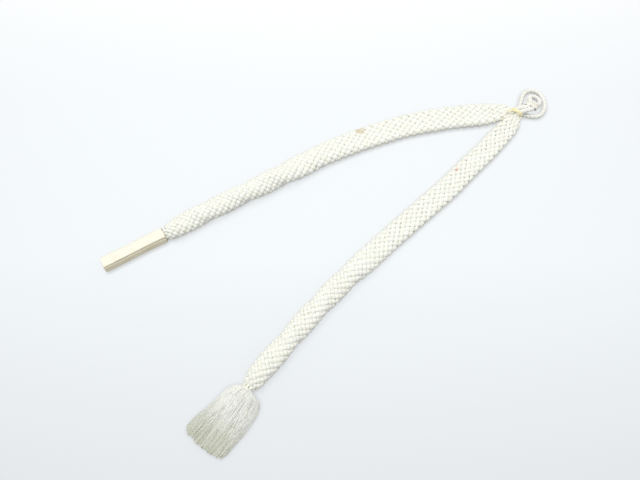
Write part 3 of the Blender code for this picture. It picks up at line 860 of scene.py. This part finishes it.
def loop_path(centre, radii, leg_z, ring_z, leave, arrive, drop, neck=None, neck_heading=None):
    """Two legs from the tie and an open ring.

    leave and arrive are how straight the legs run at the tie and at the ring. The height goes
    from leg_z to ring_z over the two distances in drop. neck is where the legs start and end
    running side by side, measured back from the centre.
    """
    away = centre / np.linalg.norm(centre)
    out = away if neck_heading is None else polar(neck_heading)
    wide = left_of(out)
    back = math.degrees(math.atan2(-out[1], -out[0]))
    angle = np.radians(back + LOOP_OPENING
                       + (360 - 2 * LOOP_OPENING) * np.linspace(0, 1, 80))
    ring = centre + np.stack([radii[0] * np.cos(angle), radii[1] * np.sin(angle), 0 * angle], -1)
    legs = []
    for side, first, second in ((-1, ring[0], ring[1]), (1, ring[-1], ring[-2])):
        offset = side * LEG_SPACING / 2
        start = ALONG * (-TIE_LENGTH / 2 - 1.6) + ACROSS * offset
        end = ALONG * (TIE_LENGTH / 2 + 0.4) + ACROSS * offset
        inward = first - unit(second - first) * arrive
        if neck is None:
            way = bezier(end, end + ALONG * leave, inward, first, 24)
        else:
            far = centre - out * neck[0] + wide * offset
            near = centre - out * neck[1] + wide * offset
            way = np.concatenate([bezier(end, end + ALONG * leave, far - out * leave, far, 16),
                                  bezier(near, near + out * 1.4, inward, first, 16)])
        legs.append(np.concatenate([[start], way[:-1]]))
    line = np.concatenate([legs[0], ring, legs[1][::-1]])
    share = ease((line @ away - drop[0]) / (drop[1] - drop[0]))
    line[:, 2] = leg_z + (ring_z - leg_z) * share
    return line


def round_loop(cord, path, pitch, rng, number):
    """A thin round braid; its strands go round once per pitch."""
    builder = Builder()
    path = resample(path, LOOP_STEP, 0.45)
    tangent = unit(np.gradient(path, axis=0))
    side = unit(np.cross(tangent, UP))
    top = np.cross(side, tangent)
    arc = np.arange(len(path)) * np.linalg.norm(path[1] - path[0])
    middle = LOOP_CORD_RADIUS - LOOP_WEAVE_RISE - LOOP_STRAND_THICK / 2
    slope = math.atan(TAU * middle / pitch)
    turns = arc / pitch
    for direction, hand in enumerate((1, -1)):
        for i in range(LOOP_STRANDS_EACH_WAY):
            angle = TAU * (i / LOOP_STRANDS_EACH_WAY + hand * turns)
            lift = hand * np.cos(4 * math.pi * LOOP_STRANDS_EACH_WAY * turns)
            outward = side * np.cos(angle)[:, None] + top * np.sin(angle)[:, None]
            height = middle + LOOP_WEAVE_RISE * lift + soft_noise(arc, 2.0, rng, 0.02)
            width = (TAU * middle / LOOP_STRANDS_EACH_WAY * math.cos(slope)
                     * (1.08 + 0.10 * lift))
            thick = LOOP_STRAND_THICK * (1 + 0.12 * lift)
            rings, normals, across = ribbon_rings(path + outward * height[:, None], outward,
                                                  width, thick, sides=9)
            builder.tube(settle(rings, 0.35), normals, arc, across,
                         number + direction * 9 + i * 1.7)
    builder.make("cord_%d_round_loop" % cord, "loop_cord", replaces="cord_%d_loop" % cord,
                 rides="tied_loops")


def loop_whipping(rng):
    """Thread wound round the two legs of cord 2's loop."""
    builder = Builder()
    out = polar(LOOP_2_HEADING)
    wound(builder, LOOP_2_CENTRE - out * 6.7 + UP * 5.5, out, length=5.6, half_width=4.9,
          half_height=2.4, power=2.6, radius=0.45, turns=6, rng=rng, number=21.0)
    builder.make("cord_2_loop_wound_thread", "binding_thread",
                 replaces="cord_2_loop_whipping", rides="tied_loops")


def golden_tie(rng):
    """Two windings round all four legs, and a knot with one long and one short tail."""
    builder = Builder()
    # the turns lie a little askew over the bundle
    middle = UP * 4.75 - ALONG * 0.9 - ACROSS * 0.5
    wound(builder, middle, polar(46.0), length=2.9, half_width=4.5, half_height=4.2, power=2.8,
          radius=0.33, turns=5, rng=rng, number=31.0, start=20)
    wound(builder, middle - ALONG * 0.5, polar(60.0), length=2.2, half_width=4.9,
          half_height=4.6, power=2.8, radius=0.31, turns=3, rng=rng, number=32.0, start=65)
    # a small overhand knot
    t = np.linspace(0.15, TAU - 0.15, 90)
    knot = np.stack([np.sin(t) + 2 * np.sin(2 * t), np.cos(t) - 2 * np.cos(2 * t),
                     -1.1 * np.sin(3 * t)], -1) * 0.46
    knot = (ACROSS * 0.1 - ALONG * 2.3 + UP * 9.2) + knot @ np.array([ALONG, ACROSS, UP])
    start, end = knot[0], knot[-1]
    out = polar(177.0)
    long_tail = bezier(start, start + out * 2.2 + UP * 0.9,
                       start + out * 6.0 - UP * 0.6 + ACROSS * 0.5,
                       start + out * 7.8 - UP * 2.3, 40)
    short_tail = bezier(end, end + polar(330) * 1.6 + UP * 0.2,
                        end + polar(318) * 2.6 - UP * 0.7,
                        end + polar(312) * 3.6 - UP * 1.6, 24)
    step = 0.16
    path = resample(np.concatenate([long_tail[::-1], knot[1:-1], short_tail]), step, soft=step)
    rings, normals, across = thread_rings(path, 0.36, 8)
    builder.tube(rings, normals, np.arange(len(path)) * step, across, 33.0)
    builder.make("golden_tie_thread", "tie_thread", replaces="tie_thread", rides="tied_loops")


def loops_and_tie():
    rng = rng_for(3, 1)
    path = loop_path(np.array([15.1, 10.3, 0.0]), radii=(9.3, 12.1), leg_z=LOW_LEG_Z,
                     ring_z=LOOP_CORD_RADIUS, leave=1.6, arrive=5.0, drop=(2.0, 8.0))
    round_loop(1, path, pitch=12.5, rng=rng, number=3.0)
    path = loop_path(LOOP_2_CENTRE, radii=(4.4, 4.4), leg_z=HIGH_LEG_Z, ring_z=2.1, leave=3.0,
                     arrive=1.6, drop=(11.0, 24.0), neck=(8.6, 5.6),
                     neck_heading=LOOP_2_HEADING)
    round_loop(2, path, pitch=12.0, rng=rng, number=8.0)
    loop_whipping(rng)
    golden_tie(rng)


# ------------------------------------------------------------------ cord 1 tassel and sleeve
ROLL_START = LINES[1].point(HINGES[1][5])
ROLL_AXIS = polar(float(heading(1, HINGES[1][5])))
ROLL_LEFT = left_of(ROLL_AXIS)
BUNDLE_LEFT, BUNDLE_Z = 0.15, 4.0       # the bundle's middle beside and above ROLL_START
BUNDLE_THREADS = 150
BUNDLE_THREAD_RADIUS = 0.21
SLEEVE_START, SLEEVE_LENGTH = 4.95, 48.0
PAPER_THICK, PAPER_GAP = 0.20, 0.10
PAPER_TURNS = 1.62
# the strip's outer edge, as a share of the way round the section
PAPER_EDGE = 0.53
# corners of the sleeve's section: mm to the left, mm up, and the corner's radius
SLEEVE_CORNERS = [(-5.6, 0.25, 1.6), (3.6, 0.25, 0.8), (5.75, 3.2, 0.9), (3.3, 8.6, 0.7),
                  (-6.0, 6.6, 2.4)]


def rolled_tassel():
    """The bundle of threads inside the sleeve, and the thread wound round its neck."""
    rng = rng_for(4, 1)
    builder = Builder()
    # evenly filled round bundle: each thread a golden angle on from the last
    order = np.arange(BUNDLE_THREADS) + 0.5
    out = np.sqrt(order / BUNDLE_THREADS)
    angles = order * math.pi * (3 - math.sqrt(5))
    along = np.linspace(SLEEVE_START + 0.6, SLEEVE_START + 45.4, 30)
    neck = ease((along - SLEEVE_START - 4.9) / 5.5)
    half_width = 2.25 + 1.45 * neck
    half_height = 1.9 + 0.75 * neck
    for j in range(BUNDLE_THREADS):
        angle = angles[j] + 0.10 * np.sin(along / 17 + 6 * rng.random()) + 0.03 * (along - 5) / 10
        spread = out[j] * (1 + soft_noise(along, 9.0, rng, 0.025))
        y = half_width * spread * np.cos(angle)
        z = half_height * spread * np.sin(angle)
        x = along.copy()
        x[-1] -= rng.random() * 1.2
        centres = (ROLL_START + ROLL_AXIS * x[:, None] + ROLL_LEFT * (y + BUNDLE_LEFT)[:, None]
                   + UP * (z + BUNDLE_Z)[:, None])
        rings, normals, across = thread_rings(centres, BUNDLE_THREAD_RADIUS, 5)
        builder.tube(rings, normals, along, across, j * 0.37)
    builder.make("cord_1_rolled_threads", "tassel_silk", replaces="cord_1_tassel",
                 rides="cord_1_tassel")
    builder = Builder()
    centre = (ROLL_START + ROLL_AXIS * (SLEEVE_START + 3.4) + ROLL_LEFT * BUNDLE_LEFT
              + UP * BUNDLE_Z)
    wound(builder, centre, ROLL_AXIS, length=2.5, half_width=2.75, half_height=2.4, power=2.2,
          radius=0.22, turns=6, rng=rng, number=41.0)
    builder.make("cord_1_wound_seizing", "binding_thread", replaces="cord_1_seizing",
                 rides="cord_1_tassel")


def rounded_polygon(corners, arc_points=7):
    """Points round a polygon of (y, z, radius) corners, starting on the first corner."""
    points = [np.array(corner[:2], float) for corner in corners]
    outline_points = []
    for i, corner in enumerate(points):
        back = points[i - 1] - corner
        ahead = points[(i + 1) % len(points)] - corner
        back_length, ahead_length = np.linalg.norm(back), np.linalg.norm(ahead)
        back, ahead = back / back_length, ahead / ahead_length
        half = math.acos(np.clip(back @ ahead, -1, 1)) / 2
        cut = min(corners[i][2] / math.tan(half), back_length * 0.49, ahead_length * 0.49)
        start, end = corner + back * cut, corner + ahead * cut
        for t in np.linspace(0, 1, arc_points):
            outline_points.append((1 - t) ** 2 * start + 2 * t * (1 - t) * corner + t * t * end)
    return np.array(outline_points)


def paper_sleeve():
    """A strip of paper rolled round the tassel a little over one and a half times."""
    rng = rng_for(5, 1)
    ring = rounded_polygon(SLEEVE_CORNERS)
    closed = np.vstack([ring, ring[:1]])
    arc = arc_length(closed)
    perimeter = arc[-1]
    turns = np.linspace(0, PAPER_TURNS, 150)        # from the outer edge to the inner edge
    place = ((PAPER_EDGE - turns) % 1.0) * perimeter
    y = np.interp(place, arc, closed[:, 0])
    z = np.interp(place, arc, closed[:, 1])
    middle = ring.mean(0)
    run_y, run_z = np.gradient(y), np.gradient(z)
    run = np.hypot(run_y, run_z) + 1e-9
    normal_y, normal_z = run_z / run, -run_y / run
    sign = np.sign(((y - middle[0]) * normal_y + (z - middle[1]) * normal_z).mean())
    normal_y = blur(normal_y * sign, 4, 1.6)
    normal_z = blur(normal_z * sign, 4, 1.6)
    depth = (PAPER_THICK + PAPER_GAP) * turns
    y, z = y - normal_y * depth, z - normal_z * depth

    # rows run along the sleeve, columns round the roll
    rows = 90
    along = np.linspace(0, SLEEVE_LENGTH, rows)
    x = along[:, None]
    i = np.arange(rows)[:, None]
    sway = soft_noise(along, 16.0, rng, 0.10)[:, None]
    # the strip's two ends are cut a little out of true, and the roll eases at its start
    swell = 1 + 0.012 * np.sin(x / 7.0 + 1.0) + 0.02 * np.exp(-x / 3.0)
    slant = (0.35 * (turns - 0.8) * np.where(i > rows / 2, 1, -1)
             * np.abs(2 * i / (rows - 1) - 1) ** 6)
    ripple = 0.05 * np.sin(turns * 9 + x * 0.22) + 0.04 * np.sin(turns * 23 - x * 0.35)
    outer_y = y * swell + sway + normal_y * ripple
    outer_z = z * (1 + 0.006 * np.sin(x / 5.3)) + normal_z * ripple

    def there_and_back(outer, inner):
        return np.concatenate([outer, inner[..., ::-1]], -1)[..., None]

    side = there_and_back(outer_y, outer_y - normal_y * PAPER_THICK)
    height = there_and_back(outer_z, outer_z - normal_z * PAPER_THICK)
    forward = SLEEVE_START + x[..., None] + there_and_back(slant, slant)
    rings = (ROLL_START + ROLL_AXIS * forward + ROLL_LEFT * side
             + UP * np.maximum(height, 0.03))
    across = there_and_back(turns * perimeter, turns * perimeter)[:, 0]
    builder = Builder()
    builder.tube(rings, None, along, across, 5.0)
    builder.make("rolled_paper_sleeve", "paper", replaces="cord_1_paper_sleeve",
                 rides="cord_1_sleeve")


# ------------------------------------------------------------------ cord 2 tassel
FAN_AXIS = polar(231.5)
FAN_SIDE = left_of(FAN_AXIS)
FAN_NECK = LINES[2].point(CORD_LENGTH[2] + 0.45) + FAN_AXIS * 1.5
FAN_NECK_Z = 4.4
FAN_LENGTH = 47.0
FAN_THREAD_RADIUS = 0.235
THREADS_PER_LOCK = 92
# distances from the neck, and the fan's half width there to the left of its axis
FAN_LEFT = ([-3, -1.8, -0.6, 0.6, 1.8, 3.6, 7, 14, 21, 30, 42, 48],
            [3.2, 4.0, 7.6, 10.8, 12.6, 14.0, 15.3, 16.6, 17.2, 17.7, 17.6, 17.4])
# the same to the right
FAN_RIGHT = ([-3, -1.5, 0, 1.2, 2.6, 4.6, 8, 13, 20, 28, 36, 42, 48],
             [3.2, 3.5, 4.5, 6.0, 7.8, 9.4, 11.0, 11.7, 12.1, 13.2, 15.0, 15.5, 15.8])
# distances from the neck, and the height of the fan's top
FAN_TOP = ([-3, -1, 1, 4, 9, 16, 26, 36, 47], [6.8, 7.0, 7.6, 8.2, 7.8, 6.9, 5.6, 4.4, 3.3])


def soft_interp(along, soft, stations, values):
    """Interpolation with its corners softened over about soft mm."""
    offsets = np.linspace(-3, 3, 13)
    return sum(np.interp(along + soft * offset / 2, stations, values) * weight
               for offset, weight in zip(offsets, gauss_weights(offsets)))


FAN_ALONG = -1.3 + (FAN_LENGTH + 1.3) * np.linspace(0, 1, 26) ** 1.22
FAN_HALF_LEFT = soft_interp(FAN_ALONG, 1.0, *FAN_LEFT)
FAN_HALF_RIGHT = soft_interp(FAN_ALONG, 1.0, *FAN_RIGHT)
FAN_HEIGHT = soft_interp(FAN_ALONG, 1.5, *FAN_TOP)


def fringe_thread(builder, rng, j, lock, centre, half, upper, clump):
    """One thread, drawn towards its clump as it leaves the neck.

    Across the fan, side is -1 at its right edge and 1 at its left; level is 0 on the table
    and 1 at the top.
    """
    clump_side, clump_level, clump_drift, clump_length = clump
    along = FAN_ALONG
    first_side = np.clip(centre + half * 1.15 * (2 * ((j * 0.618034) % 1.0) - 1)
                         + rng.normal(0, 0.012), -1.0, 1.0)
    first_level = (0.46 + 0.54 * rng.random() ** 0.6) if upper else (0.56 * rng.random())
    if not upper and abs(centre) > 0.8:
        first_level = rng.random() ** 0.8
    gather = ease((along - 5) / 42)
    pull = 0.74 * gather
    drift = clump_drift * gather ** 1.3
    side = first_side + (clump_side - first_side) * pull + drift
    goal = (0.55 + 0.4 * clump_level) if upper else 0.30 * clump_level + 0.1
    level = first_level + (goal - first_level) * pull * 0.7
    side = np.clip(side + soft_noise(along, 13.0, rng, 0.012) * ease((along - 2) / 8),
                   -1.03, 1.03)
    # the section is a low dome standing on the table
    dome = np.maximum(1 - np.abs(side) ** 2.6, 0.0) ** 0.62
    spread_y = np.where(side > 0, FAN_HALF_LEFT, FAN_HALF_RIGHT) * side
    spread_z = 0.25 + (FAN_HEIGHT - 0.35) * (0.16 + 0.84 * dome) * level
    # in the neck the threads fill a round bundle
    neck_y = first_side * 3.15
    neck_z = FAN_NECK_Z + ((2 * first_level - 1) * 3.1
                           * math.sqrt(max(1 - (first_side * 0.95) ** 2, 0.02)))
    y = neck_y + (spread_y - neck_y) * ease((along + 1.6) / 3.2)
    z = neck_z + (spread_z - neck_z) * ease((along + 1.0) / 3.4)
    # a spare draw: the ones after it depend on its place in the sequence
    rng.random()
    # the cut ends follow an arc, shorter towards both edges
    trim = 6.6 * first_side ** 3.4 if first_side > 0 else 3.8 * abs(first_side) ** 2.6
    end = FAN_LENGTH - 0.8 - 0.9 * rng.random() ** 2 + clump_length * 0.5 - trim
    x = along + (end - along[-1]) * ease(along / along[-1])
    centres = (FAN_NECK + FAN_AXIS * x[:, None] + FAN_SIDE * y[:, None]
               + UP * np.maximum(z, 0.22)[:, None])
    radius = np.full(len(along), FAN_THREAD_RADIUS * (1 + 0.06 * rng.normal()))
    radius[-1] *= 0.75
    rings, normals, across = thread_rings(centres, radius, 5, phase=0.25)
    # threads lying close together shade as one soft lock
    off = np.clip((side - clump_side - drift) / 0.075, -1.3, 1.3)
    lean = (FAN_SIDE * (0.75 * side * np.abs(side) + 1.2 * gather ** 1.4 * off)[:, None]
            + FAN_AXIS * 0.12)
    # corners 0-2 are the thread's upper side, 3 and 4 its round lower side
    under = np.array([0.0, 0.0, 0.0, 1.0, 1.0])[None, :, None]
    keep = np.maximum((0.17 + 0.16 * gather)[:, None, None], under)
    normals = unit(normals * keep + unit(lean + UP)[:, None] * (1 - keep))
    builder.tube(settle(rings, 0.25), normals, x, across, lock * 11 + j * 0.37)


def fringe_lock(lock):
    """One of nine locks across the fan; the even ones lie on top of the odd ones."""
    upper = lock % 2 == 0
    rng = rng_for(6, lock)
    builder = Builder()
    centre = (lock - 5) / 4.35
    half = 0.265 if upper else 0.20
    clumps = 5 if upper else 4
    sides = centre + half * 1.5 * ((np.arange(clumps) + 0.5) / clumps - 0.5) * 1.15
    sides = np.clip(sides + rng.normal(0, 0.02, clumps), -0.97, 0.97)
    levels = rng.random(clumps)
    drifts = rng.normal(0, 0.035, clumps)
    lengths = rng.normal(0, 0.9, clumps)
    clump_table = list(zip(sides, levels, drifts, lengths))
    for j in range(THREADS_PER_LOCK if upper else int(THREADS_PER_LOCK * 0.85)):
        fringe_thread(builder, rng, j, lock, centre, half, upper, clump_table[j % clumps])
    middle = lock == 5
    piece = builder.make("cord_2_fringe_threads_%d" % lock, "tassel_silk",
                         replaces="cord_2_fringe_%d" % lock,
                         rides="cord_2_tassel" if middle else None)
    if not middle:
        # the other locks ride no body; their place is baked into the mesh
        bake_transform(piece)


def fringe():
    for lock in range(1, 10):
        fringe_lock(lock)
    builder = Builder()
    wound(builder, FAN_NECK - FAN_AXIS * 0.2 + UP * FAN_NECK_Z, FAN_AXIS, length=2.4,
          half_width=3.75, half_height=3.6, power=2.1, radius=0.26, turns=5,
          rng=rng_for(6, 50), number=51.0)
    builder.make("cord_2_wound_seizing", "binding_thread", replaces="cord_2_seizing",
                 rides="cord_2_tassel")


# ------------------------------------------------------------------ studio, in metres
MIDDLE_X = -0.156               # of the whole product, for light and camera
TABLE_HALF = 3.0
TABLE_Z = -0.00015


def add_object(name, data):
    item = bpy.data.objects.new(name, data)
    bpy.context.scene.collection.objects.link(item)
    return item


def backdrop():
    mesh = bpy.data.meshes.new("backdrop")
    corners = [(x * TABLE_HALF, y * TABLE_HALF, TABLE_Z)
               for x, y in ((-1, -1), (1, -1), (1, 1), (-1, 1))]
    mesh.from_pydata(corners, [], [(0, 1, 2, 3)])
    mesh.materials.append(table_material())
    add_object("backdrop", mesh)


def world():
    air = bpy.data.worlds.new("studio_air")
    air.use_nodes = True
    background = air.node_tree.nodes["Background"]
    background.inputs["Color"].default_value = (0.965, 0.985, 1.0, 1.0)
    background.inputs["Strength"].default_value = 0.70
    bpy.context.scene.world = air


def key_light():
    """A large square lamp high above the table, aimed at the product's middle."""
    light = bpy.data.lights.new("key", "AREA")
    light.shape = "RECTANGLE"
    light.size = 0.6
    light.size_y = 0.6
    light.energy = 7.7
    light.color = (1.0, 0.997, 0.982)
    lamp = add_object("key", light)
    lamp.location = (-0.32, 0.24, 1.2)
    aim = Vector((MIDDLE_X, -0.106, 0.0)) - Vector((-0.32, 0.24, 1.2))
    lamp.rotation_euler = aim.to_track_quat("-Z", "Y").to_euler()


def camera():
    lens = bpy.data.cameras.new("photo_angle")
    lens.sensor_width = 36.0
    lens.lens = 33.75
    lens.clip_start = 0.01
    view = add_object("photo_angle", lens)
    view.location = (MIDDLE_X, -0.2575, 0.4172)
    view.rotation_euler = (math.radians(20.0), 0.0, 0.0)
    bpy.context.scene.camera = view
    bpy.context.scene.view_settings.view_transform = "Standard"


# ------------------------------------------------------------------ everything in order
for cord_number in (1, 2):
    braid(cord_number)
loops_and_tie()
rolled_tassel()
paper_sleeve()
fringe()
backdrop()
world()
key_light()
camera()
